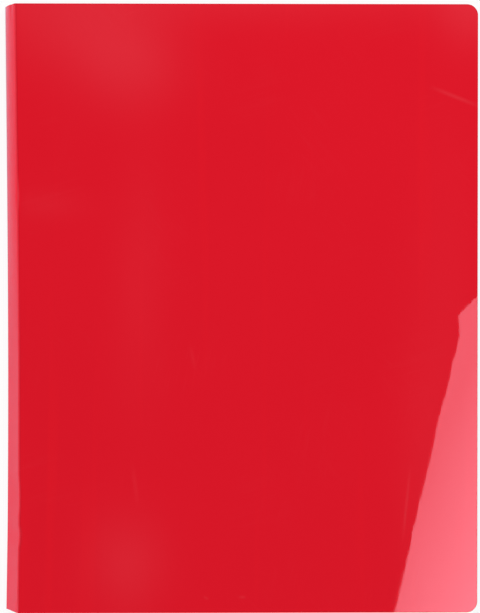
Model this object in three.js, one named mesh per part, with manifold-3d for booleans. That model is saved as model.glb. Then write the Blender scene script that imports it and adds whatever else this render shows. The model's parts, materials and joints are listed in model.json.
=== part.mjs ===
// A4 display book, lying closed on its back cover: one creased plastic sheet is both covers and the spine,
// and a block of clear pockets is welded to the inside of the spine.
// Millimetres. +Z is up, +X runs from the spine to the fore-edges and +Y to the top edge.
import * as THREE from 'three';
import { mergeVertices } from 'three/addons/utils/BufferGeometryUtils.js';
import Module from 'manifold-3d';

const wasm = await Module();
wasm.setup();

const { degToRad } = THREE.MathUtils;

// Cover sheet
const coverHeight = 310;
const coverWidth = 234;
const coverThickness = 0.7;
const coverCornerRadius = 5.6;

// Creases: the lean of the closed spine, the fall of the front cover, and the folds at the middle of the sheet
const spineLean = degToRad(68);
const frontCoverFall = degToRad(0.73);
const backFoldRadius = 2;
const frontFoldRadius = 3;
const foldFacet = degToRad(10);

// Pockets: two plies of film welded along three sides and open at the top, measured from the spine
const pocketCount = 20;
const pocketWidth = 230;
const pocketHeight = 303;
const pocketCornerRadius = 3;
const filmThickness = 0.08;
const mouthWidth = 0.14;
const weldWidth = 3;
const weldBead = 0.5;

// Binding strip, with the welded margin of each pocket standing on it
const stripThickness = 0.6;
const stripOverhang = 0.3;
const spineMargin = 0.4;
const shortestMargin = 1.2;

// Clearances: along a crease, under the strip, between closed and opened pockets, to a cover, in a pocket's fold
const creaseGap = 0.1;
const stripGap = 0.1;
const closedGap = 0.275;
const openedGap = 0.16;
const coverGap = 0.3;
const turnGap = 0.3;

// Colours
const coverMaterial = new THREE.MeshStandardMaterial({ color: 0xd91728, roughness: 0.16, metalness: 0 });
const filmMaterial = new THREE.MeshStandardMaterial({
  color: 0xe6ebed,
  roughness: 0.3,
  metalness: 0,
  transparent: true,
  opacity: 0.45,
});
const stripMaterial = new THREE.MeshStandardMaterial({ color: 0xdfe3e4, roughness: 0.4, metalness: 0 });

// Worked out: a pocket's two thicknesses, the spacing of the pockets along the spine and the spine's flat width
const weldThickness = 2 * filmThickness;
const pocketThickness = weldThickness + mouthWidth;
const rootPitch = (pocketThickness + closedGap) / Math.sin(spineLean);
const marginStep = (pocketThickness + openedGap) / Math.sin(spineLean);
const spineWidth = (pocketCount - 1) * rootPitch + 2 * spineMargin;

// The section is drawn in x and z: a point, a heading in the plane, and the side to the left of it
const section = (x, z) => new THREE.Vector2(x, z);
const along = (heading) => section(Math.cos(heading), Math.sin(heading));
const leftOf = (heading) => section(-Math.sin(heading), Math.cos(heading));

// A point that lies some way forward of another on a heading, and some way to its left
function step(point, heading, forward, left = 0) {
  return point
    .clone()
    .addScaledVector(along(heading), forward)
    .addScaledVector(leftOf(heading), left);
}

// The stations of a fold that turns to the right, away from the outer face
function foldStations(start, heading, turn, radius) {
  const centre = step(start, heading, 0, -radius);
  const facets = Math.ceil(turn / foldFacet);
  return Array.from({ length: facets + 1 }, (unused, i) => {
    const turned = heading - (turn * i) / facets;
    return { point: step(centre, turned, 0, radius), heading: turned };
  });
}

// The line that a fold turns about, so that it opens flat with the whole of its arc between the two panels
function foldPivot(start, heading, turn, radius) {
  const inward = (radius / 2) * ((turn * Math.sin(turn)) / (1 - Math.cos(turn)) - 2);
  return step(start, heading, (radius * turn) / 2, inward);
}

// The sheet, from the back cover's crease round the spine to the front cover's crease
const backTurn = Math.PI - spineLean;
const frontTurn = spineLean + frontCoverFall;
const backCrease = section(0, coverThickness / 2);
const backFold = foldStations(backCrease, Math.PI, backTurn, backFoldRadius);
const spineStart = backFold.at(-1).point;
const spineEnd = step(spineStart, spineLean, spineWidth);
const frontFold = foldStations(spineEnd, spineLean, frontTurn, frontFoldRadius);
const frontCrease = frontFold.at(-1).point;
const backPivot = foldPivot(backCrease, Math.PI, backTurn, backFoldRadius);
const frontPivot = foldPivot(spineEnd, spineLean, frontTurn, frontFoldRadius);

// An x and z section, run along the spine
function extrudeAlongSpine(points, length) {
  const geometry = new THREE.ExtrudeGeometry(new THREE.Shape(points), { depth: length, bevelEnabled: false });
  return geometry.rotateX(Math.PI / 2).translate(0, length / 2, 0);
}

// A flat outline with round corners at the fore-edge, given its thickness about the middle
function plate({ left, right, bottom, top, radius, thickness }) {
  const outline = new THREE.Shape();
  outline.moveTo(left, bottom);
  outline.lineTo(right - radius, bottom);
  outline.absarc(right - radius, bottom + radius, radius, -Math.PI / 2, 0);
  outline.lineTo(right, top - radius);
  outline.absarc(right - radius, top - radius, radius, 0, Math.PI / 2);
  outline.lineTo(left, top);
  outline.closePath();
  const options = { depth: thickness, bevelEnabled: false, curveSegments: 6 };
  return new THREE.ExtrudeGeometry(outline, options).translate(0, 0, -thickness / 2);
}

// A closed geometry as a solid that can be joined and cut, and back again
function toSolid(geometry) {
  geometry.deleteAttribute('normal');
  geometry.deleteAttribute('uv');
  const merged = mergeVertices(geometry);
  const vertProperties = new Float32Array(merged.attributes.position.array);
  const triVerts = new Uint32Array(merged.index.array);
  return new wasm.Manifold(new wasm.Mesh({ numProp: 3, vertProperties, triVerts }));
}

function toGeometry(solid) {
  const { vertProperties, triVerts } = solid.getMesh();
  const geometry = new THREE.BufferGeometry();
  geometry.setAttribute('position', new THREE.BufferAttribute(vertProperties, 3));
  geometry.setIndex(new THREE.BufferAttribute(triVerts, 1));
  geometry.computeVertexNormals();
  return geometry;
}

// A named mesh, set at a point of the section and tipped down towards the fore-edge
function addMesh(parent, name, geometry, material, point = section(0, 0), fall = 0) {
  const mesh = new THREE.Mesh(geometry, material);
  mesh.name = name;
  mesh.position.set(point.x, 0, point.y);
  mesh.rotation.y = fall;
  parent.attach(mesh);
}

// A group on a hinge line; a negative turn about its Y axis opens it
function addHinge(parent, name, point) {
  const hinge = new THREE.Group();
  hinge.name = name;
  hinge.position.set(point.x, 0, point.y);
  parent.attach(hinge);
  return hinge;
}

// Front and back cover: flat boards that stop just short of their creases
const coverBoard = () =>
  plate({
    left: creaseGap,
    right: coverWidth,
    bottom: -coverHeight / 2,
    top: coverHeight / 2,
    radius: coverCornerRadius,
    thickness: coverThickness,
  });

// Hinge web: the curved stretch of the sheet in a crease
function hingeWeb(stations) {
  const outer = stations.map(({ point, heading }) => step(point, heading, 0, coverThickness / 2));
  const inner = stations.map(({ point, heading }) => step(point, heading, 0, -coverThickness / 2));
  return extrudeAlongSpine([...outer, ...inner.reverse()], coverHeight);
}

// Spine panel: the flat stretch between the two creases
function spinePanel() {
  const corner = (forward, left) => step(spineStart, spineLean, forward, left);
  const half = coverThickness / 2;
  const points = [
    corner(creaseGap, half),
    corner(creaseGap, -half),
    corner(spineWidth - creaseGap, -half),
    corner(spineWidth - creaseGap, half),
  ];
  return extrudeAlongSpine(points, coverHeight);
}

// Where each pocket is rooted on the strip, and how far its welded margin reaches before the pocket can turn
const stripFace = coverThickness / 2 + stripGap + stripThickness;
const rootOf = (i) => step(spineStart, spineLean, spineMargin + i * rootPitch, -stripFace);
const marginOf = (i) => shortestMargin + marginStep * Math.min(i, pocketCount - 1 - i);

// The lowest pocket comes down to the back cover at its fore-edge, the highest up to the front cover, and
// those between fan out evenly
const lowestFall = fallTo(rootOf(0), coverThickness + coverGap + pocketThickness / 2);
const highestFall = fallTo(rootOf(pocketCount - 1), undersideAtForeEdge() - coverGap - pocketThickness / 2);
const fallOf = (i) => THREE.MathUtils.lerp(lowestFall, highestFall, i / Math.max(1, pocketCount - 1));

function fallTo(root, foreEdgeHeight) {
  return Math.asin((root.y - foreEdgeHeight) / pocketWidth);
}

function undersideAtForeEdge() {
  const reach = rootOf(pocketCount - 1).x + pocketWidth - frontCrease.x;
  const half = coverThickness / 2 / Math.cos(frontCoverFall);
  return frontCrease.y - reach * Math.tan(frontCoverFall) - half;
}

const pockets = Array.from({ length: pocketCount }, (unused, i) => {
  const fall = fallOf(i);
  const margin = marginOf(i);
  return { root: rootOf(i), fall, margin, turn: step(rootOf(i), -fall, margin) };
});

// Binding strip: a base along the spine with one thin margin standing on it for each pocket
function bindingStrip() {
  const half = weldThickness / 2;
  const base = (forward, left) => step(spineStart, spineLean, forward, left);
  const seat = -(coverThickness / 2 + stripGap);
  const startsAt = spineMargin - stripOverhang;
  const endsAt = spineWidth - spineMargin + stripOverhang;
  const points = [base(endsAt, -stripFace), base(endsAt, seat), base(startsAt, seat), base(startsAt, -stripFace)];
  for (const { root, fall, margin } of pockets) {
    const spread = half / Math.sin(spineLean + fall);
    const reach = margin - turnGap / 2;
    points.push(step(root, spineLean, -spread));
    points.push(step(root, -fall, reach, -half));
    points.push(step(root, -fall, reach, half));
    points.push(step(root, spineLean, spread));
  }
  return extrudeAlongSpine(points, pocketHeight);
}

// Pocket: a thin welded rim on three sides, and inside it two plies with an open mouth between them at the top
function pocket(length) {
  const rim = {
    left: turnGap / 2,
    right: length,
    bottom: -pocketHeight / 2,
    top: pocketHeight / 2,
    radius: pocketCornerRadius,
    thickness: weldThickness,
  };
  const inside = (inset, top, thickness) => ({
    left: rim.left + inset,
    right: rim.right - inset,
    bottom: rim.bottom + inset,
    top,
    radius: 0,
    thickness,
  });
  const plies = inside(weldWidth, rim.top, pocketThickness);
  const mouth = inside(weldWidth + weldBead, rim.top + weldWidth, mouthWidth);
  const envelope = toSolid(plate(rim)).add(toSolid(plate(plies)));
  return toGeometry(envelope.subtract(toSolid(plate(mouth))));
}

// Assembly: each hinge group carries what turns with it
const book = new THREE.Group();
book.name = 'display_book';
addMesh(book, 'back_cover', coverBoard(), coverMaterial, backCrease);
addMesh(book, 'back_hinge_web', hingeWeb(backFold), coverMaterial);

const spine = addHinge(book, 'back_fold', backPivot);
addMesh(spine, 'spine_panel', spinePanel(), coverMaterial);
addMesh(spine, 'front_hinge_web', hingeWeb(frontFold), coverMaterial);
addMesh(spine, 'pocket_binding_strip', bindingStrip(), stripMaterial);

pockets.forEach(({ fall, margin, turn }, i) => {
  const name = `pocket_${String(i + 1).padStart(2, '0')}`;
  const hinge = addHinge(spine, `${name}_turn`, turn);
  addMesh(hinge, name, pocket(pocketWidth - margin), filmMaterial, turn, fall);
});

const front = addHinge(spine, 'front_fold', frontPivot);
addMesh(front, 'front_cover', coverBoard(), coverMaterial, frontCrease, frontCoverFall);

// The origin is on the ground at the middle of the closed book
const leftmost = Math.min(...backFold.map(({ point, heading }) => step(point, heading, 0, coverThickness / 2).x));
const rightmost = step(frontCrease, -frontCoverFall, coverWidth, coverThickness / 2).x;
book.position.x = -(leftmost + rightmost) / 2;

export default book;
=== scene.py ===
import json
import math

import bmesh
import bpy
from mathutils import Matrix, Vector


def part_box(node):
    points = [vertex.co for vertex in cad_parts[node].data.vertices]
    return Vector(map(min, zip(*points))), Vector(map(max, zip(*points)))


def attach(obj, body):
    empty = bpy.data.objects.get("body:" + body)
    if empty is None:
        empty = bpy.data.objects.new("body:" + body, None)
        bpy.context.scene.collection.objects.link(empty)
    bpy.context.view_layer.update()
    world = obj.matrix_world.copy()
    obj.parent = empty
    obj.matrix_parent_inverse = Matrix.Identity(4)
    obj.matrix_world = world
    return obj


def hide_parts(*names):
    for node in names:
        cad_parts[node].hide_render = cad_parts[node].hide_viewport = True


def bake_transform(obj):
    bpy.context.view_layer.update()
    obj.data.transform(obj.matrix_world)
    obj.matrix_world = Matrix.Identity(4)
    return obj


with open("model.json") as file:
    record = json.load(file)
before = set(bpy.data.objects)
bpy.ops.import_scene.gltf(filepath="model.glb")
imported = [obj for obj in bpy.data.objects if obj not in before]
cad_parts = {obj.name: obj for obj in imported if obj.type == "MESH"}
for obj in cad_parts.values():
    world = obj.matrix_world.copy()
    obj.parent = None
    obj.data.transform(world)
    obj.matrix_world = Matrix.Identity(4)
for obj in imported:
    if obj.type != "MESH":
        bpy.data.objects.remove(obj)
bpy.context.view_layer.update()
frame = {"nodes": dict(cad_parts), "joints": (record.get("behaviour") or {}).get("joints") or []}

mm = 0.001
nearly = 1e-7  # metres within which two places count as one
smoothBelow = math.radians(20)  # sharper edges stay sharp
pocketNames = sorted(n for n in frame["nodes"] if n.startswith("pocket_") and n[7:].isdigit())
jointAt = {joint["name"]: Vector(joint["pos_m"]) for joint in frame["joints"]}

# The folded sheet that both covers and the spine are cut from
sheet = {
    "thickness": 0.7 * mm,
    "cornerRadius": 5.6 * mm,
    "cornerSteps": 8,
    "lean": math.radians(68),  # of the closed spine
    "fall": math.radians(0.73),  # of the front cover
    "backRadius": 2 * mm,  # folds, at the middle of the sheet
    "frontRadius": 3 * mm,
    "creaseGap": 0.1 * mm,  # between the boards and the webs of the frame
    "foldFacets": 16,
    "cell": 3 * mm,
    "fineCell": 1 * mm,  # across the spine
    "edgeBevel": 0.2 * mm,
    "edgeSteps": 2,
    "rimAngle": math.radians(60),  # edges sharper than this are cut edges
}

# How far the real spine stands in at places along it
bow = {
    "stops": [
        (-155 * mm, 0.17 * mm),
        (-105 * mm, 0.91 * mm),
        (-30 * mm, 1.25 * mm),
        (45 * mm, 0.98 * mm),
        (155 * mm, 0.07 * mm),
    ],
    "fadesOver": 55 * mm,
}


def sideOf(heading):
    return Vector((-math.sin(heading), 0, math.cos(heading)))


def forwardOf(heading):
    return Vector((math.cos(heading), 0, math.sin(heading)))


# Where the sheet's middle runs, worked out from the frame
boardLow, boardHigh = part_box("back_cover")
spineLow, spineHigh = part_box("spine_panel")
boardHeight = boardHigh.y - boardLow.y
backCrease = Vector((boardLow.x - sheet["creaseGap"], 0, sheet["thickness"] / 2))
boardWidth = boardHigh.x - backCrease.x
backCentre = backCrease + Vector((0, 0, sheet["backRadius"]))
spineStart = backCentre + sideOf(sheet["lean"]) * sheet["backRadius"]
spineRise = spineHigh.z - spineLow.z - sheet["thickness"] * math.cos(sheet["lean"])
spineWidth = spineRise / math.sin(sheet["lean"]) + 2 * sheet["creaseGap"]
spineEnd = spineStart + forwardOf(sheet["lean"]) * spineWidth
frontCentre = spineEnd - sideOf(sheet["lean"]) * sheet["frontRadius"]
frontCrease = frontCentre + sideOf(-sheet["fall"]) * sheet["frontRadius"]
backTurn = math.pi - sheet["lean"]
frontTurn = sheet["lean"] + sheet["fall"]


def selectOnly(piece):
    bpy.ops.object.select_all(action="DESELECT")
    piece.select_set(True)
    bpy.context.view_layer.objects.active = piece


def startEdit(piece):
    selectOnly(piece)
    bpy.ops.object.mode_set(mode="EDIT")


def endEdit():
    bpy.ops.object.mode_set(mode="OBJECT")


def pick(piece, rule, kind="VERT"):
    # selects the vertices, edges or faces that the rule accepts
    bpy.ops.mesh.select_mode(type=kind)
    bpy.ops.mesh.select_all(action="DESELECT")
    mesh = bmesh.from_edit_mesh(piece.data)
    for part in {"VERT": mesh.verts, "EDGE": mesh.edges, "FACE": mesh.faces}[kind]:
        if rule(part):
            part.select_set(True)
    mesh.select_flush_mode()
    bmesh.update_edit_mesh(piece.data)


def cutAt(axis, places):
    # cuts the whole mesh across, square to one axis
    normal = [0, 0, 0]
    normal["xyz".index(axis)] = 1
    for place in places:
        bpy.ops.mesh.select_all(action="SELECT")
        bpy.ops.mesh.bisect(plane_co=[place * n for n in normal], plane_no=normal)


def spread(low, high, cell):
    # evenly spaced places between two ends, without the ends
    count = max(1, round((high - low) / cell))
    return [low + (high - low) * i / count for i in range(1, count)]


def applyPlace(piece):
    selectOnly(piece)
    bpy.ops.object.transform_apply(location=True, rotation=True, scale=True)


def smoothShade(piece):
    selectOnly(piece)
    bpy.ops.object.shade_smooth_by_angle(angle=smoothBelow)


def smoothstep(value):
    value = min(1, max(0, value))
    return value * value * (3 - 2 * value)


def alongCurve(stops, place):
    # a smooth curve through values given at places
    count = len(stops)
    slopes = []
    for i in range(count):
        before, after = stops[max(0, i - 1)], stops[min(count - 1, i + 1)]
        slopes.append((after[1] - before[1]) / (after[0] - before[0]))
    place = min(stops[-1][0], max(stops[0][0], place))
    i = max(0, min(count - 2, sum(place > stop[0] for stop in stops) - 1))
    (low, first), (high, second) = stops[i], stops[i + 1]
    span = high - low
    t = (place - low) / span
    return ((2 * t ** 3 - 3 * t ** 2 + 1) * first + (t ** 3 - 2 * t ** 2 + t) * slopes[i] * span
            + (3 * t ** 2 - 2 * t ** 3) * second + (t ** 3 - t ** 2) * slopes[i + 1] * span)


def bowSpine(piece):
    # carries everything near the spine in with it
    for vertex in piece.data.vertices:
        fade = 1 - smoothstep((vertex.co.x - frontCrease.x) / bow["fadesOver"])
        vertex.co.x += alongCurve(bow["stops"], vertex.co.y) * fade
    piece.data.update()


def makeBlank(name, radius, turn):
    # the sheet as die-cut: a board to the right of the crease, the fold and the spine to its left
    chord = 2 * radius * math.sin(turn / sheet["foldFacets"] / 2)
    foldWidth = chord * sheet["foldFacets"]
    left = -foldWidth - (spineWidth if name == "cover_front" else 0)
    bpy.ops.object.select_all(action="DESELECT")
    bpy.ops.mesh.primitive_plane_add(size=1, location=((left + boardWidth) / 2, 0, 0))
    blank = bpy.context.active_object
    blank.name = name
    blank.scale = (boardWidth - left, boardHeight, 1)
    applyPlace(blank)
    startEdit(blank)
    pick(blank, lambda v: v.co.x > boardWidth - nearly)
    corner, steps = sheet["cornerRadius"], sheet["cornerSteps"]
    bpy.ops.mesh.bevel(offset=corner, segments=steps, affect="VERTICES")
    cutAt("x", [-chord * i for i in range(sheet["foldFacets"] + 1)])
    cutAt("x", spread(0, boardWidth, sheet["cell"]))
    if name == "cover_front":
        cutAt("x", spread(left, -foldWidth, sheet["fineCell"]))
    cutAt("y", spread(-boardHeight / 2, boardHeight / 2, sheet["cell"]))
    endEdit()
    return blank, chord


def keepFlatMap(piece, originX=0.0):
    # a UV map in metres on the flat sheet, so that marks stay put when it folds
    flat = piece.data.uv_layers.get("flat") or piece.data.uv_layers.new(name="flat")
    for loop in piece.data.loops:
        place = piece.data.vertices[loop.vertex_index].co
        flat.data[loop.index].uv = (place.x - originX, place.y)
    piece.data.uv_layers.active = flat


def foldBlank(blank, chord, turn):
    # bends the part beyond each score line in turn, the farthest one first
    flatX = [v.co.x for v in blank.data.vertices]
    facets = sheet["foldFacets"]
    startEdit(blank)
    for i in range(facets, -1, -1):
        line = -chord * i
        share = 0.5 if i in (0, facets) else 1
        pick(blank, lambda v: flatX[v.index] < line - nearly)
        angle = turn / facets * share
        bpy.ops.transform.rotate(value=angle, orient_axis="Y", center_override=(line, 0, 0))
    endEdit()


def thickenSheet(piece, seam):
    # gives the sheet its thickness, and eases the cut edges except where two sheets meet
    piece.data.materials.append(coverMaterial)
    piece.data.materials.append(cutEdgeMaterial)
    selectOnly(piece)
    solidify = piece.modifiers.new("Solidify", "SOLIDIFY")
    solidify.thickness = sheet["thickness"]
    solidify.offset = 0
    solidify.use_even_offset = True
    solidify.material_offset_rim = 1
    bpy.ops.object.modifier_apply(modifier=solidify.name)
    startEdit(piece)
    bpy.ops.mesh.select_all(action="SELECT")
    bpy.ops.mesh.normals_make_consistent(inside=False)

    def isRim(edge):
        if len(edge.link_faces) != 2 or edge.calc_face_angle(0) < sheet["rimAngle"]:
            return False
        middle = (edge.verts[0].co + edge.verts[1].co) / 2
        return (middle - seam).xz.length > sheet["thickness"]

    pick(piece, isRim, "EDGE")
    bpy.ops.mesh.bevel(offset=sheet["edgeBevel"], segments=sheet["edgeSteps"], affect="EDGES")
    endEdit()


# Slight waves in the boards, about a hundredth of a millimetre high
waves = {
    "fullFrom": 40 * mm,  # distance from the crease, from where they have their full height
    "sets": [  # height, length across and along the board, and phase
        (0.008 * mm, 150 * mm, 260 * mm, 0.6),
        (0.004 * mm, 62 * mm, -210 * mm, 2.1),
        (0.002 * mm, 38 * mm, 75 * mm, 4.0),
    ],
}


def waveBoard(piece, crease):
    for vertex in piece.data.vertices:
        free = smoothstep((vertex.co.x - crease.x) / waves["fullFrom"])
        lift = 0
        for height, across, along, phase in waves["sets"]:
            turns = vertex.co.x / across + vertex.co.y / along
            lift += height * math.sin(2 * math.pi * turns + phase)
        vertex.co.z += lift * free
    piece.data.update()


# The spine bulges towards its top end, and the front fold is sharp, with a few small dents
frontFold = {
    "radius": 0.85 * mm,
    "shift": [  # place along the spine, how far in from the frame's crease this one sits
        (-155 * mm, 1.75 * mm),
        (-108 * mm, 1.6 * mm),
        (-78 * mm, 1.45 * mm),
        (-17 * mm, 1.35 * mm),
        (45 * mm, 1.15 * mm),
        (105 * mm, 0.9 * mm),
        (155 * mm, 0.85 * mm),
    ],
    "nicks": [  # short stretches where it sits further in: place, how far, half length
        (-96 * mm, 0.45 * mm, 9 * mm),
        (-115.5 * mm, 0.6 * mm, 5 * mm),
    ],
    "reach": 8 * mm,  # how far into the board the sheet is reshaped
    "pull": 45 * mm,  # how far the pockets are drawn along with it
    "drift": 2 * mm,  # how far that and the bow carry the top of the spine, on average
    "stripShare": 0.6,  # of the bulge that the stiffer strip takes up
    "bend": 5 * mm,  # how much of the sheet on either side turns with the fold
    "bulge": [  # place along the spine, how far the spine stands out
        (-155 * mm, 0),
        (-60 * mm, 0.02 * mm),
        (-10 * mm, 0.16 * mm),
        (60 * mm, 0.7 * mm),
        (155 * mm, 0.85 * mm),
    ],
    "dents": [  # place along the spine, distance past the fold, depth, length, width
        (58 * mm, -0.2 * mm, 0.3 * mm, 6 * mm, 0.8 * mm),
        (-118 * mm, 1.4 * mm, 0.12 * mm, 5 * mm, 1.2 * mm),
        (154 * mm, -3.4 * mm, 0.5 * mm, 4 * mm, 0.9 * mm),
        (-153 * mm, -1.0 * mm, 0.35 * mm, 1.8 * mm, 0.8 * mm),
    ],
}


# where the spine and the board would meet if the frame's fold were sharp
framesApex = spineEnd + forwardOf(sheet["lean"]) * sheet["frontRadius"] * math.tan(frontTurn / 2)


def foldShift(place):
    # how far in the crease sits at a place along the spine
    shift = alongCurve(frontFold["shift"], place)
    for middle, depth, reach in frontFold["nicks"]:
        shift += depth * math.exp(-((place - middle) / reach) ** 4)
    return shift


def reshapeFrontFold(piece, flatX, foldWidth):
    # lays the spine on its bulge and the crease on a tighter arc
    rounding = sheet["frontRadius"] * (math.tan(frontTurn / 2) - frontTurn / 2)
    toBoard = forwardOf(-sheet["fall"])
    spineSide = spineWidth + foldWidth / 2
    radius = frontFold["radius"]
    for vertex in piece.data.vertices:
        along = flatX[vertex.index] + foldWidth / 2
        if along > frontFold["reach"]:
            continue
        place = vertex.co.y
        shift = foldShift(place)
        apex = framesApex + toBoard * shift
        span = (apex - spineStart).length
        spineHeading = math.atan2(apex.z - spineStart.z, apex.x - spineStart.x)
        bulge = alongCurve(frontFold["bulge"], place)
        lean = spineHeading - math.atan(4 * bulge / span)
        half = (lean + sheet["fall"]) / 2
        outward = sideOf((lean - sheet["fall"]) / 2)
        corner = radius * (math.tan(half) - half)
        if along > 0:
            along *= (frontFold["reach"] + rounding - corner - shift) / frontFold["reach"]
        else:
            along *= (span - corner) / spineSide
        away = abs(along) + corner
        if abs(along) < radius * half:
            heading = (lean - sheet["fall"]) / 2 - along / radius
            spot = apex - outward * radius / math.cos(half) + sideOf(heading) * radius
        elif along > 0:
            spot = apex + toBoard * away
        else:
            share = away / span
            proud = 4 * bulge * share * (1 - share)
            spot = apex - forwardOf(spineHeading) * away + sideOf(spineHeading) * proud
        for middle, past, depth, length, width in frontFold["dents"]:
            off = ((place - middle) / length) ** 2 + ((along - past) / width) ** 2
            spot = spot - outward * (depth * math.exp(-off))
        vertex.co = (spot.x, place, spot.z)
    piece.data.update()


def spineShare(height):
    # 0 at the foot of the spine, 1 at its top
    return min(1, max(0, (height - spineStart.z) / (framesApex.z - spineStart.z)))


def followSpine(piece):
    # draws the strip and the pockets along with the reshaped spine
    for vertex in piece.data.vertices:
        share = spineShare(vertex.co.z)
        place = vertex.co.y
        inward = foldShift(place) * share
        bulge = frontFold["stripShare"] * alongCurve(frontFold["bulge"], place)
        outward = 4 * bulge * share * (1 - share) / math.sin(sheet["lean"])
        fromSpine = vertex.co.x - spineStart.x - (framesApex.x - spineStart.x) * share
        vertex.co.x += (inward - outward) * (1 - smoothstep(fromSpine / frontFold["pull"]))
    piece.data.update()


def makeFrontSheet():
    piece, chord = makeBlank("cover_front", sheet["frontRadius"], frontTurn)
    keepFlatMap(piece)
    flatX = [v.co.x for v in piece.data.vertices]
    foldBlank(piece, chord, frontTurn)
    piece.rotation_euler = (0, sheet["fall"], 0)
    piece.location = frontCrease
    applyPlace(piece)
    reshapeFrontFold(piece, flatX, chord * sheet["foldFacets"])
    waveBoard(piece, frontCrease)
    thickenSheet(piece, spineStart)
    bowSpine(piece)
    smoothShade(piece)
    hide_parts("front_cover", "front_hinge_web", "spine_panel")
    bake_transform(piece)


def makeBackSheet():
    piece, chord = makeBlank("cover_back", sheet["backRadius"], backTurn)
    keepFlatMap(piece, originX=-2 * spineWidth)  # so that the front's scratches miss it
    foldBlank(piece, chord, -backTurn)
    piece.location = backCrease
    applyPlace(piece)
    thickenSheet(piece, spineStart)
    bowSpine(piece)
    smoothShade(piece)
    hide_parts("back_cover", "back_hinge_web")
    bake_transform(piece)


# The welded margins' strip, flat against the inside of the spine
strip = {
    "seat": 0.05 * mm,  # clear of the sheet
    "face": 1.05 * mm,  # from the middle of the sheet
    "endGap": 0.1 * mm,
    "firstRoot": 0.4 * mm,
    "beadWidth": 0.34 * mm,
    "beadHeight": 0.12 * mm,
    "cell": 10 * mm,
}
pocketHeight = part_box(pocketNames[0])[1].y * 2
rootPitch = (spineWidth - 2 * strip["firstRoot"]) / (len(pocketNames) - 1)


def makeStrip():
    bottom = sheet["thickness"] / 2 + strip["seat"]
    top = strip["face"]
    length = spineWidth - 2 * strip["endGap"]
    bpy.ops.object.select_all(action="DESELECT")
    bpy.ops.mesh.primitive_cube_add(size=1, location=((bottom + top) / 2, 0, spineWidth / 2))
    piece = bpy.context.active_object
    piece.name = "binding_strip"
    piece.scale = (top - bottom, pocketHeight, length)
    applyPlace(piece)
    startEdit(piece)
    roots = [strip["firstRoot"] + rootPitch * i for i in range(len(pocketNames))]
    half = strip["beadWidth"] / 2
    cutAt("z", sorted([r - half for r in roots] + [r + half for r in roots]))

    def isBead(face):
        middle = face.calc_center_median()
        return middle.x > top - nearly and any(abs(middle.z - r) < half for r in roots)

    pick(piece, isBead, "FACE")
    bpy.ops.mesh.extrude_region_move(TRANSFORM_OT_translate={"value": (strip["beadHeight"], 0, 0)})
    cutAt("y", spread(-pocketHeight / 2, pocketHeight / 2, strip["cell"]))
    endEdit()
    piece.rotation_euler = (0, math.pi / 2 - sheet["lean"], 0)
    piece.location = spineStart
    applyPlace(piece)
    followSpine(piece)
    bowSpine(piece)
    smoothShade(piece)
    piece.data.materials.append(stripMaterial)
    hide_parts("pocket_binding_strip")
    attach(piece, "spine")


# One pocket of two plies of film, measured from its root on the strip
film = {
    "width": 230 * mm,
    "thickness": 0.3 * mm,
    "ply": 0.08 * mm,
    "weldThickness": 0.16 * mm,
    "weld": 3 * mm,
    "weldStep": 0.4 * mm,
    "innerWeld": 8.8 * mm,
    "cornerRadius": 3 * mm,
    "cornerSteps": 5,
    "rooted": 0.12 * mm,  # into the strip's bead
    "cell": 11 * mm,
    "bendCell": 0.5 * mm,
    "shortestMargin": 1.2 * mm,
    "marginStep": 0.4961 * mm,
    "bend": 1.6 * mm,  # how much of it on either side turns with the fold, at most
    "rippleHeight": 0.07 * mm,
    "rippleFrom": (20 * mm, 80 * mm),  # where the ripples begin, and over what distance they grow
    "rippleLengths": (170 * mm, 120 * mm, 53 * mm),
}


def makePocketPattern():
    left, right = -film["rooted"], film["width"]
    bottom, top = -pocketHeight / 2, pocketHeight / 2
    innerLeft, innerRight = film["innerWeld"], right - film["weld"]
    innerBottom = bottom + film["weld"]
    bpy.ops.object.select_all(action="DESELECT")
    bpy.ops.mesh.primitive_cube_add(size=1, location=((left + right) / 2, 0, 0))
    piece = bpy.context.active_object
    piece.name = "pocketPattern"
    piece.scale = (right - left, pocketHeight, film["thickness"])
    applyPlace(piece)
    startEdit(piece)
    pick(piece, lambda e: min(v.co.x for v in e.verts) > right - nearly
         and abs(e.verts[0].co.z - e.verts[1].co.z) > nearly, "EDGE")
    bpy.ops.mesh.bevel(offset=film["cornerRadius"], segments=film["cornerSteps"], affect="EDGES")
    step = film["weldStep"]
    cutAt("x", [innerLeft - step, innerLeft, innerRight, innerRight + step])
    cutAt("y", [innerBottom - step, innerBottom])

    def isMouth(face):
        return face.normal.y > 0.9 and innerLeft < face.calc_center_median().x < innerRight

    # the mouth at the top, and the space between the plies
    pick(piece, isMouth, "FACE")
    bpy.ops.mesh.inset(thickness=film["ply"], depth=0)
    depth = top - innerBottom - film["ply"]
    bpy.ops.mesh.extrude_region_move(TRANSFORM_OT_translate={"value": (0, -depth, 0)})

    # the welded margins are thinner
    pick(piece, lambda v: v.co.x < innerLeft - step + nearly or v.co.x > innerRight + step - nearly
         or v.co.y < innerBottom - step + nearly)
    thinner = film["weldThickness"] / film["thickness"]
    bpy.ops.transform.resize(value=(1, 1, thinner), center_override=(0, 0, 0))
    cutAt("x", spread(left, innerLeft - step, film["bendCell"]))
    cutAt("x", spread(innerLeft, innerRight, film["cell"]))
    cutAt("y", spread(innerBottom, top, film["cell"]))
    endEdit()
    keepFlatMap(piece)
    begins, growsOver = film["rippleFrom"]
    across, along, short = film["rippleLengths"]
    for vertex in piece.data.vertices:
        free = smoothstep((vertex.co.x - begins) / growsOver)
        turns = vertex.co.x / across + vertex.co.y / along
        ripple = math.sin(2 * math.pi * turns)
        ripple += 0.5 * math.sin(2 * math.pi * vertex.co.y / short + 1)
        vertex.co.z += film["rippleHeight"] * free * ripple
    piece.data.materials.append(filmMaterial)
    return piece


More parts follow.
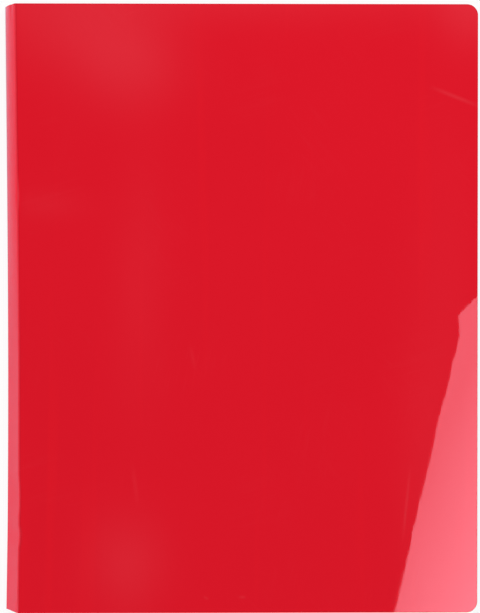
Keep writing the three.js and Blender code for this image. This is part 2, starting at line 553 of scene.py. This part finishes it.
def makePocket(pattern, i):
    name = pocketNames[i]
    hinge = jointAt[f"{name}_turn"]
    low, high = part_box(name)
    length = high.x - hinge.x
    drop = hinge.z - low.z - film["thickness"] / 2
    fall = math.asin(drop / (length - film["weld"]))
    margin = film["shortestMargin"] + film["marginStep"] * min(i, len(pocketNames) - 1 - i)
    forward = forwardOf(-fall)
    piece = pattern.copy()
    piece.data = pattern.data.copy()
    piece.name = name + "_film"
    bpy.context.scene.collection.objects.link(piece)
    piece.rotation_euler = (0, fall, 0)
    piece.location = hinge - forward * margin
    applyPlace(piece)
    followSpine(piece)
    bowSpine(piece)
    smoothShade(piece)
    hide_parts(name)
    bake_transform(piece)


def feed(tree, sockets, values):
    # links a value that comes from a node, and sets one that is a plain number
    for socket, value in zip(sockets, values):
        if isinstance(value, bpy.types.NodeSocket):
            tree.links.new(value, socket)
        elif value is not None:
            socket.default_value = value


def addMath(tree, operation, first, second=None, clamp=False):
    node = tree.nodes.new("ShaderNodeMath")
    node.operation = operation
    node.use_clamp = clamp
    feed(tree, node.inputs, (first, second))
    return node.outputs[0]


def addVector(tree, operation, first, second=None, output="Vector"):
    node = tree.nodes.new("ShaderNodeVectorMath")
    node.operation = operation
    feed(tree, node.inputs, (first, second))
    return node.outputs[output]


def addNoise(tree, vector, scale, detail=3.0, roughness=0.55, stretch=(1, 1, 1)):
    mapping = tree.nodes.new("ShaderNodeMapping")
    mapping.inputs["Scale"].default_value = stretch
    noise = tree.nodes.new("ShaderNodeTexNoise")
    noise.inputs["Scale"].default_value = scale
    noise.inputs["Detail"].default_value = detail
    noise.inputs["Roughness"].default_value = roughness
    tree.links.new(vector, mapping.inputs["Vector"])
    tree.links.new(mapping.outputs[0], noise.inputs["Vector"])
    return noise.outputs["Fac"]


def mapRange(tree, value, low, high, toLow, toHigh):
    node = tree.nodes.new("ShaderNodeMapRange")
    ends = {"From Min": low, "From Max": high, "To Min": toLow, "To Max": toHigh}
    for key, number in ends.items():
        node.inputs[key].default_value = number
    tree.links.new(value, node.inputs["Value"])
    return node.outputs["Result"]


def mixColour(tree, mask, first, second):
    mix = tree.nodes.new("ShaderNodeMix")
    mix.data_type = "RGBA"
    colours = [(*value, 1) if isinstance(value, tuple) else value for value in (first, second)]
    feed(tree, (mix.inputs["Factor"], mix.inputs["A"], mix.inputs["B"]), (mask, *colours))
    return mix.outputs["Result"]


def splitVector(tree, vector):
    parts = tree.nodes.new("ShaderNodeSeparateXYZ")
    tree.links.new(vector, parts.inputs[0])
    return parts.outputs["X"], parts.outputs["Y"], parts.outputs["Z"]


def newGroup(name, inputs, outputs):
    # an input without a value is a vector, all others are numbers
    group = bpy.data.node_groups.new(name, "ShaderNodeTree")
    for label, value in inputs.items():
        kind = "NodeSocketVector" if value is None else "NodeSocketFloat"
        socket = group.interface.new_socket(name=label, in_out="INPUT", socket_type=kind)
        if value is not None:
            socket.default_value = value
    for label in outputs:
        group.interface.new_socket(name=label, in_out="OUTPUT", socket_type="NodeSocketFloat")
    return group, group.nodes.new("NodeGroupInput"), group.nodes.new("NodeGroupOutput")


# The moulded surface that every piece has; scale, detail and roughness of its noises
grainLook = {
    "fine": (1400, 2.0),
    "flow": (60, 2.0),
    "flowStretch": (2.2, 0.16, 1),
    "blotch": (22, 4.0, 0.6),
    "blotchSpan": (0.3, 0.7),  # from its glossiest to its dullest
}


def makeGrainGroup():
    # fine moulded grain: a height for bump and a mask that varies the gloss
    inputs = {"Vector": None, "Grain": 1.0, "Flow": 1.0}
    group, given, result = newGroup("plasticGrain", inputs, ["Height", "Gloss"])
    place = given.outputs["Vector"]
    fine = addNoise(group, place, *grainLook["fine"])
    fine = addMath(group, "MULTIPLY", fine, given.outputs["Grain"])
    flow = addNoise(group, place, *grainLook["flow"], stretch=grainLook["flowStretch"])
    flow = addMath(group, "MULTIPLY", flow, given.outputs["Flow"])
    group.links.new(addMath(group, "ADD", fine, flow), result.inputs["Height"])
    group.links.new(addNoise(group, place, *grainLook["blotch"]), result.inputs["Gloss"])
    return group


scuffLook = {
    "detail": (2.0, 0.5),  # detail and roughness of the noise
    "sets": [  # turn, scale and stretch
        (0.2, 46, (9, 0.25, 1)),
        (-0.7, 38, (10, 0.3, 1)),
        (1.3, 30, (11, 0.22, 1)),
    ],
    "thinness": 55,
    "patchScale": 17,  # they come in patches
    "patchFrom": 0.56,
    "patchContrast": 7,
}


def makeScuffGroup():
    # hair-thin handling marks, most of them along the sheet
    group, given, result = newGroup("handlingMarks", {"Vector": None, "Amount": 0.5}, ["Mask"])
    total = 0
    for angle, scale, stretch in scuffLook["sets"]:
        mapping = group.nodes.new("ShaderNodeMapping")
        mapping.inputs["Rotation"].default_value = (0, 0, angle)
        group.links.new(given.outputs["Vector"], mapping.inputs["Vector"])
        streak = addNoise(group, mapping.outputs[0], scale, *scuffLook["detail"], stretch)
        away = addMath(group, "ABSOLUTE", addMath(group, "SUBTRACT", streak, 0.5))
        away = addMath(group, "MULTIPLY", away, scuffLook["thinness"])
        line = addMath(group, "SUBTRACT", 1, away, clamp=True)
        patch = addNoise(group, mapping.outputs[0], scuffLook["patchScale"], 1.0)
        patch = addMath(group, "SUBTRACT", patch, scuffLook["patchFrom"])
        patch = addMath(group, "MULTIPLY", patch, scuffLook["patchContrast"], clamp=True)
        total = addMath(group, "MAXIMUM", total, addMath(group, "MULTIPLY", line, patch))
    total = addMath(group, "MULTIPLY", total, given.outputs["Amount"])
    group.links.new(total, result.inputs["Mask"])
    return group


def makeScratchGroup():
    # one thin line between two places, fading out at both ends
    inputs = {"Vector": None, "From": None, "To": None, "Width": 0.5 * mm, "Strength": 1.0}
    group, given, result = newGroup("thinScratch", inputs, ["Mask"])
    line = addVector(group, "SUBTRACT", given.outputs["To"], given.outputs["From"])
    reach = addVector(group, "SUBTRACT", given.outputs["Vector"], given.outputs["From"])
    covered = addVector(group, "DOT_PRODUCT", reach, line, "Value")
    whole = addVector(group, "DOT_PRODUCT", line, line, "Value")
    share = addMath(group, "DIVIDE", covered, whole, clamp=True)
    nearest = group.nodes.new("ShaderNodeVectorMath")
    nearest.operation = "SCALE"
    group.links.new(line, nearest.inputs[0])
    group.links.new(share, nearest.inputs["Scale"])
    away = addVector(group, "SUBTRACT", reach, nearest.outputs[0])
    away = addVector(group, "LENGTH", away, None, "Value")
    away = addMath(group, "DIVIDE", away, given.outputs["Width"])
    core = addMath(group, "SUBTRACT", 1, away, clamp=True)
    fade = addMath(group, "SINE", addMath(group, "MULTIPLY", share, math.pi))
    mask = addMath(group, "MULTIPLY", core, fade)
    mask = addMath(group, "MULTIPLY", mask, given.outputs["Strength"])
    group.links.new(mask, result.inputs["Mask"])
    return group


def useGroup(tree, group, vector, **values):
    node = tree.nodes.new("ShaderNodeGroup")
    node.node_tree = group
    tree.links.new(vector, node.inputs["Vector"])
    for key, value in values.items():
        node.inputs[key].default_value = value
    return node


plasticIor = 1.49


def newMaterial(name):
    material = bpy.data.materials.new(name)
    material.use_nodes = True
    tree = material.node_tree
    return material, tree, tree.nodes["Principled BSDF"]


def readFlatMap(tree):
    uv = tree.nodes.new("ShaderNodeUVMap")
    uv.uv_map = "flat"
    return uv.outputs[0]


def addBump(tree, height, distance):
    bump = tree.nodes.new("ShaderNodeBump")
    bump.inputs["Distance"].default_value = distance
    tree.links.new(height, bump.inputs["Height"])
    return bump.outputs["Normal"]


def roughnessOf(tree, moulded, look):
    return mapRange(tree, moulded.outputs["Gloss"], *grainLook["blotchSpan"], *look["roughness"])


coverLook = {
    "red": (0.76, 0.0072, 0.0198),
    "deepRed": (0.72, 0.0064, 0.018),  # in clouds
    "cloudScale": 9,
    "streakRed": (0.82, 0.0085, 0.018),
    "streaks": (60, 2.0),  # scale and detail
    "streakStretch": (1.5, 0.05, 1),
    "streakSpan": (0.58, 0.75),  # of the noise, over which a streak grows to its most
    "streakMost": 0.25,
    "sheen": (0.92, 0.46, 0.58),  # of the mirror image in the gloss, seen square on
    "roughness": (0.010, 0.024),
    "grain": {"Grain": 0.06, "Flow": 1.0},
    "grainDepth": 0.004 * mm,
    # painted shade: the darker red of a narrow line along the front fold
    "creaseShadeRed": (0.61, 0.006, 0.018),
    "crease": (-1.5 * mm, 0.9 * mm),  # painted shade along the fold: its place and half width on the flat sheet
    "scuffs": 0.14,
    "markRed": (0.9, 0.25, 0.3),
    "markStrength": 0.09,
    "scratches": [  # from, to, half width and strength, measured on the flat sheet from the crease
        ((209 * mm, 113.3 * mm), (236 * mm, 102.5 * mm), 1.5 * mm, 0.62),
        ((199.8 * mm, -79 * mm), (195.7 * mm, -120 * mm), 1.1 * mm, 0.4),
        ((58 * mm, -77.7 * mm), (61 * mm, -101 * mm), 1.6 * mm, 0.25),
        ((87.4 * mm, -18 * mm), (90.4 * mm, -32 * mm), 1.4 * mm, 0.25),
        ((94 * mm, -146.5 * mm), (97 * mm, -148 * mm), 0.9 * mm, 0.5),
        ((112 * mm, -146.8 * mm), (116 * mm, -147 * mm), 1.1 * mm, 0.5),
    ],
}


def makeCoverMaterial(grain, scuffs, scratch):
    material, tree, surface = newMaterial("glossyCoverSheet")
    flat = readFlatMap(tree)
    moulded = useGroup(tree, grain, flat, **coverLook["grain"])
    cloud = addNoise(tree, flat, coverLook["cloudScale"])
    colour = mixColour(tree, cloud, coverLook["red"], coverLook["deepRed"])
    streaks = addNoise(tree, flat, *coverLook["streaks"], stretch=coverLook["streakStretch"])
    streaks = mapRange(tree, streaks, *coverLook["streakSpan"], 0, coverLook["streakMost"])
    colour = mixColour(tree, streaks, colour, coverLook["streakRed"])
    # painted shade: a darker line along the front fold, where the crease is in shade
    creasePlace, creaseWidth = coverLook["crease"]
    away = addMath(tree, "SUBTRACT", splitVector(tree, flat)[0], creasePlace)
    creaseShadeMask = mapRange(tree, addMath(tree, "ABSOLUTE", away), 0, creaseWidth, 1, 0)
    colour = mixColour(tree, creaseShadeMask, colour, coverLook["creaseShadeRed"])
    marks = useGroup(tree, scuffs, flat, Amount=coverLook["scuffs"]).outputs["Mask"]
    for start, end, width, strength in coverLook["scratches"]:
        ends = {"From": (*start, 0), "To": (*end, 0)}
        line = useGroup(tree, scratch, flat, **ends, Width=width, Strength=strength)
        marks = addMath(tree, "MAXIMUM", marks, line.outputs["Mask"])
    pale = addMath(tree, "MULTIPLY", marks, coverLook["markStrength"])
    colour = mixColour(tree, pale, colour, coverLook["markRed"])
    tree.links.new(colour, surface.inputs["Base Color"])
    roughness = addMath(tree, "ADD", roughnessOf(tree, moulded, coverLook), pale)
    tree.links.new(roughness, surface.inputs["Roughness"])
    bump = addBump(tree, moulded.outputs["Height"], coverLook["grainDepth"])
    tree.links.new(bump, surface.inputs["Normal"])
    surface.inputs["Specular Tint"].default_value = (*coverLook["sheen"], 1)
    surface.inputs["IOR"].default_value = plasticIor
    return material


cutEdge = {
    "red": (0.72, 0.012, 0.024),
    "paleRed": (0.80, 0.045, 0.06),
    "whitening": (260, 3.0, 0.6),  # scale, detail and roughness
    "whiteningSpan": (0.45, 0.75),
    "roughness": (0.32, 0.5),
    "grain": {"Grain": 1.0, "Flow": 0.4},
    "grainDepth": 0.015 * mm,
}


def makeCutEdgeMaterial(grain):
    # where the die cut the sheet: duller, with a little of the stress whitening that cutting leaves
    material, tree, surface = newMaterial("cutSheetEdge")
    place = tree.nodes.new("ShaderNodeTexCoord").outputs["Object"]
    moulded = useGroup(tree, grain, place, **cutEdge["grain"])
    whitened = addNoise(tree, place, *cutEdge["whitening"])
    whitened = mapRange(tree, whitened, *cutEdge["whiteningSpan"], 0, 1)
    colour = mixColour(tree, whitened, cutEdge["red"], cutEdge["paleRed"])
    tree.links.new(colour, surface.inputs["Base Color"])
    tree.links.new(roughnessOf(tree, moulded, cutEdge), surface.inputs["Roughness"])
    bump = addBump(tree, moulded.outputs["Height"], cutEdge["grainDepth"])
    tree.links.new(bump, surface.inputs["Normal"])
    surface.inputs["IOR"].default_value = plasticIor
    return material


filmLook = {
    "clear": (0.99, 0.885, 0.895),  # with the red of the cover showing through
    "cling": (0.96, 0.80, 0.82),  # in patches where the plies cling together
    "clingPatches": (15, 2.0, 0.5),  # scale, detail and roughness
    "clingStretch": (1, 0.55, 1),
    "clingSpan": (0.44, 0.62),
    "weld": (0.98, 0.965, 0.965),
    "alpha": 0.25,
    "weldAlpha": 0.55,
    "roughness": (0.12, 0.24),
    "grain": {"Grain": 1.0, "Flow": 0.6},
    "grainDepth": 0.012 * mm,
    "ribPitch": 0.9 * mm,  # of the ribbed welds
    "ribDepth": 1.5,  # in depths of the grain
    "ripple": (24, 2.0, 0.45),  # scale, detail and roughness
    "rippleStretch": (1, 0.6, 1),
    "rippleDepth": 0.6 * mm,
}


def makeFilmMaterial(grain):
    material, tree, surface = newMaterial("clearPocketFilm")
    flat = readFlatMap(tree)
    moulded = useGroup(tree, grain, flat, **filmLook["grain"])
    x, y = splitVector(tree, flat)[:2]
    atSpine = addMath(tree, "LESS_THAN", x, film["innerWeld"])
    atFore = addMath(tree, "GREATER_THAN", x, film["width"] - film["weld"])
    atBottom = addMath(tree, "LESS_THAN", y, film["weld"] - pocketHeight / 2)
    weld = addMath(tree, "MAXIMUM", addMath(tree, "MAXIMUM", atSpine, atFore), atBottom)
    turn = addMath(tree, "MULTIPLY", addMath(tree, "ADD", x, y), 2 * math.pi / filmLook["ribPitch"])
    ribs = addMath(tree, "MULTIPLY", addMath(tree, "SINE", turn), filmLook["ribDepth"])
    ribs = addMath(tree, "MULTIPLY", ribs, weld)
    ripple = addNoise(tree, flat, *filmLook["ripple"], stretch=filmLook["rippleStretch"])
    ripple = addMath(tree, "MULTIPLY", ripple, filmLook["rippleDepth"] / filmLook["grainDepth"])
    height = addMath(tree, "ADD", addMath(tree, "ADD", moulded.outputs["Height"], ribs), ripple)
    patches = addNoise(tree, flat, *filmLook["clingPatches"], stretch=filmLook["clingStretch"])
    patches = mapRange(tree, patches, *filmLook["clingSpan"], 0, 1)
    colour = mixColour(tree, patches, filmLook["clear"], filmLook["cling"])
    colour = mixColour(tree, weld, colour, filmLook["weld"])
    tree.links.new(colour, surface.inputs["Base Color"])
    tree.links.new(roughnessOf(tree, moulded, filmLook), surface.inputs["Roughness"])
    alpha = mapRange(tree, weld, 0, 1, filmLook["alpha"], filmLook["weldAlpha"])
    tree.links.new(alpha, surface.inputs["Alpha"])
    tree.links.new(addBump(tree, height, filmLook["grainDepth"]), surface.inputs["Normal"])
    return material


stripLook = {
    "milky": (0.72, 0.75, 0.76),
    "dim": (0.62, 0.65, 0.67),
    "cloud": (120, 2.0),  # scale and detail
    "roughness": (0.35, 0.5),
    "grain": {"Grain": 1.0, "Flow": 0.2},
    "grainDepth": 0.02 * mm,
}


def makeStripMaterial(grain):
    material, tree, surface = newMaterial("milkyBindingStrip")
    place = tree.nodes.new("ShaderNodeTexCoord").outputs["Object"]
    moulded = useGroup(tree, grain, place, **stripLook["grain"])
    cloud = addNoise(tree, place, *stripLook["cloud"])
    colour = mixColour(tree, cloud, stripLook["milky"], stripLook["dim"])
    tree.links.new(colour, surface.inputs["Base Color"])
    tree.links.new(roughnessOf(tree, moulded, stripLook), surface.inputs["Roughness"])
    bump = addBump(tree, moulded.outputs["Height"], stripLook["grainDepth"])
    tree.links.new(bump, surface.inputs["Normal"])
    return material


# The camera looks straight down, with the photograph's framing
photo = {
    "width": 480,
    "height": 613,
    "pixelsPerMetre": 1965.8,
    "distance": 0.9315,
    "planeHeight": 15.5 * mm,
    "tilt": math.radians(0.69),
    "centre": (-0.11 * mm, 1.25 * mm),
    "sensor": 24,  # in millimetres, as cameras have it
    "clipStart": 0.01,
}


def makeCamera():
    data = bpy.data.cameras.new("overhead")
    camera = bpy.data.objects.new("overhead", data)
    bpy.context.scene.collection.objects.link(camera)
    data.sensor_fit = "VERTICAL"
    data.sensor_height = photo["sensor"]
    data.lens = photo["sensor"] * photo["distance"] / (photo["height"] / photo["pixelsPerMetre"])
    data.clip_start = photo["clipStart"]
    x, y = photo["centre"]
    back = photo["distance"] * math.sin(photo["tilt"])
    rise = photo["distance"] * math.cos(photo["tilt"])
    camera.location = (x, y + back, photo["planeHeight"] + rise)
    camera.rotation_euler = (-photo["tilt"], 0, 0)
    bpy.context.scene.camera = camera


# A soft white studio: a wall all round that is brighter on the left, a dim ceiling with a few pale
# patches, a soft box that the gloss mirrors and a fill lamp
studio = {
    "wall": 0.42,
    "leftWall": 1.8,  # added on the left
    "mirroredMost": 1.15,  # in the gloss
    "otherMost": 100,  # to all other rays
    "ceiling": 0.15,
    "ceilingEdge": 0.90,  # cosines of the angle from straight up
    "ceilingFull": 0.975,
    "steepest": 0.1,  # cosine down to which the patches are drawn
    "patches": [  # place in the picture, half width and height in the picture, brightness
        ((128, 58), (38, 34), 0.66),
        ((66, 26), (46, 30), 0.46),
        ((200, -6), (280, 20), 0.42),
        ((140, 280), (18, 80), 0.2),
        ((50, 205), (26, 10), 0.2),
        ((127, 564), (27, 34), 0.46),
        ((476, 4), (26, 30), 0.6),
        ((446, 340), (22, 130), 0.16),
        ((420, 480), (16, 90), 0.15),
    ],
    "floorColour": (0.66, 0.7, 0.89),  # as it lights the folder and shows in the gloss
    "floorSeen": (0.97, 0.97, 0.97),
    "floorGlow": 0.88,
    "floorSize": 8,  # metres
    "boxHeight": 1015 * mm,
    "boxCorners": [  # places in the picture that mirror them
        (314, 960), (460.3, 335), (458.8, 315), (560, 214), (800, 180), (960, 480), (900, 900),
    ],
    "boxLevel": 5.7,  # at the left, and how it rises to the right and downwards
    "boxRise": (49, -20),
    "boxRiseFrom": (417, 500),
    "boxMost": 11,
    "fillPlace": (620 * mm, 780 * mm, 1240 * mm),
    "fillSize": 735 * mm,
    "fillRadiance": 4.4,
}


def mirrorHeading(x, y):
    # where a place in the picture mirrors the ceiling, as slopes from straight up
    perMetre = photo["pixelsPerMetre"]
    slopeX = (x - photo["width"] / 2) / perMetre / photo["distance"]
    slopeY = (photo["height"] / 2 - y) / perMetre / photo["distance"]
    return slopeX + 2 * sheet["fall"], slopeY - photo["tilt"]


def mirroredPlace(x, y, height):
    # the same for a lamp hung at a height
    slopeX, slopeY = mirrorHeading(x, y)
    perMetre = photo["pixelsPerMetre"]
    fromX = (x - photo["width"] / 2) / perMetre + photo["centre"][0]
    fromY = (photo["height"] / 2 - y) / perMetre + photo["centre"][1]
    rise = height - photo["planeHeight"]
    return Vector((fromX + slopeX * rise, fromY + slopeY * rise, height))


def makePatchGroup():
    # a soft round patch in the ceiling
    inputs = {"Vector": None, "Centre": None, "Size": None, "Strength": 1.0}
    group, given, result = newGroup("ceilingPatch", inputs, ["Light"])
    away = addVector(group, "SUBTRACT", given.outputs["Vector"], given.outputs["Centre"])
    away = addVector(group, "DIVIDE", away, given.outputs["Size"])
    squared = addVector(group, "DOT_PRODUCT", away, away, "Value")
    light = addMath(group, "EXPONENT", addMath(group, "MULTIPLY", squared, -1))
    light = addMath(group, "MULTIPLY", light, given.outputs["Strength"])
    group.links.new(light, result.inputs["Light"])
    return group


def emptyTree(owner):
    # the nodes of a material or a world, cleared of those that it comes with
    owner.use_nodes = True
    owner.node_tree.nodes.clear()
    return owner.node_tree


def seenDirectly(tree, rays):
    return addMath(tree, "MAXIMUM", rays["Is Camera Ray"], rays["Is Transmission Ray"])


def makeWorld():
    world = bpy.data.worlds.new("studio")
    bpy.context.scene.world = world
    tree = emptyTree(world)
    place = tree.nodes.new("ShaderNodeTexCoord").outputs["Generated"]
    x, y, z = splitVector(tree, place)
    wall = addMath(tree, "ADD", mapRange(tree, x, 0, -1, 0, studio["leftWall"]), studio["wall"])
    high = mapRange(tree, z, studio["ceilingEdge"], studio["ceilingFull"], 0, 1)
    low = addMath(tree, "MULTIPLY", addMath(tree, "SUBTRACT", 1, high), wall)
    level = addMath(tree, "ADD", low, addMath(tree, "MULTIPLY", high, studio["ceiling"]))
    slopes = tree.nodes.new("ShaderNodeCombineXYZ")
    upward = addMath(tree, "MAXIMUM", z, studio["steepest"])
    tree.links.new(addMath(tree, "DIVIDE", x, upward), slopes.inputs["X"])
    tree.links.new(addMath(tree, "DIVIDE", y, upward), slopes.inputs["Y"])
    group = makePatchGroup()
    for spot, size, strength in studio["patches"]:
        centre = (*mirrorHeading(*spot), 0)
        reach = [2 ** 0.5 * s / photo["pixelsPerMetre"] / photo["distance"] for s in size]
        form = {"Centre": centre, "Size": (*reach, 1), "Strength": strength}
        patch = useGroup(tree, group, slopes.outputs[0], **form)
        level = addMath(tree, "ADD", level, patch.outputs["Light"])
    rays = tree.nodes.new("ShaderNodeLightPath").outputs
    glossy = rays["Is Glossy Ray"]
    most = mapRange(tree, glossy, 0, 1, studio["otherMost"], studio["mirroredMost"])
    level = addMath(tree, "MINIMUM", level, most)
    level = addMath(tree, "MAXIMUM", level, seenDirectly(tree, rays))
    background = tree.nodes.new("ShaderNodeBackground")
    background.inputs["Color"].default_value = (1, 1, 1, 1)
    tree.links.new(level, background.inputs["Strength"])
    output = tree.nodes.new("ShaderNodeOutputWorld")
    tree.links.new(background.outputs[0], output.inputs["Surface"])


def makeFloor():
    bpy.ops.object.select_all(action="DESELECT")
    bpy.ops.mesh.primitive_plane_add(size=studio["floorSize"], location=(0, 0, 0))
    floor = bpy.context.active_object
    floor.name = "paleFloor"
    material = bpy.data.materials.new("paleFloor")
    tree = emptyTree(material)
    diffuse = tree.nodes.new("ShaderNodeBsdfDiffuse")
    glow = tree.nodes.new("ShaderNodeEmission")
    seen = seenDirectly(tree, tree.nodes.new("ShaderNodeLightPath").outputs)
    colour = mixColour(tree, seen, studio["floorColour"], studio["floorSeen"])
    tree.links.new(colour, diffuse.inputs["Color"])
    mix = tree.nodes.new("ShaderNodeMixShader")
    tree.links.new(addMath(tree, "MULTIPLY", seen, studio["floorGlow"]), mix.inputs[0])
    tree.links.new(diffuse.outputs[0], mix.inputs[1])
    tree.links.new(glow.outputs[0], mix.inputs[2])
    output = tree.nodes.new("ShaderNodeOutputMaterial")
    tree.links.new(mix.outputs[0], output.inputs["Surface"])
    floor.data.materials.append(material)


def makeSoftBox():
    corners = [mirroredPlace(x, y, studio["boxHeight"]) for x, y in studio["boxCorners"]]
    mesh = bpy.data.meshes.new("softBox")
    mesh.from_pydata(corners, [], [range(len(corners))])
    box = bpy.data.objects.new("softBox", mesh)
    bpy.context.scene.collection.objects.link(box)
    material = bpy.data.materials.new("softBoxGlow")
    tree = emptyTree(material)
    place = tree.nodes.new("ShaderNodeNewGeometry").outputs["Position"]
    start = mirroredPlace(*studio["boxRiseFrom"], studio["boxHeight"])
    away = addVector(tree, "SUBTRACT", place, start)
    rise = addVector(tree, "DOT_PRODUCT", away, (*studio["boxRise"], 0), "Value")
    level = addMath(tree, "ADD", rise, studio["boxLevel"])
    level = addMath(tree, "MAXIMUM", level, studio["boxLevel"])
    level = addMath(tree, "MINIMUM", level, studio["boxMost"])
    glow = tree.nodes.new("ShaderNodeEmission")
    tree.links.new(level, glow.inputs["Strength"])
    output = tree.nodes.new("ShaderNodeOutputMaterial")
    tree.links.new(glow.outputs[0], output.inputs["Surface"])
    mesh.materials.append(material)
    box.visible_diffuse = False
    box.visible_camera = False
    box.visible_shadow = False


def makeFillLamp():
    data = bpy.data.lights.new("fillLamp", "AREA")
    data.size = studio["fillSize"]
    data.energy = studio["fillRadiance"] * math.pi * studio["fillSize"] ** 2
    lamp = bpy.data.objects.new("fillLamp", data)
    bpy.context.scene.collection.objects.link(lamp)
    lamp.location = studio["fillPlace"]
    lamp.rotation_euler = Vector(studio["fillPlace"]).to_track_quat("Z", "Y").to_euler()
    lamp.visible_glossy = False


bpy.context.scene.view_settings.view_transform = "Standard"
makeCamera()
makeWorld()
makeFloor()
makeSoftBox()
makeFillLamp()
print("stage: camera, floor and lights")

grainGroup = makeGrainGroup()
scuffGroup = makeScuffGroup()
coverMaterial = makeCoverMaterial(grainGroup, scuffGroup, makeScratchGroup())
cutEdgeMaterial = makeCutEdgeMaterial(grainGroup)
filmMaterial = makeFilmMaterial(grainGroup)
stripMaterial = makeStripMaterial(grainGroup)
print("stage: materials")

makeFrontSheet()
makeBackSheet()
print("stage: cover")

makeStrip()
pattern = makePocketPattern()
for i in range(len(pocketNames)):
    makePocket(pattern, i)
bpy.data.objects.remove(pattern)
print("stage: pockets")
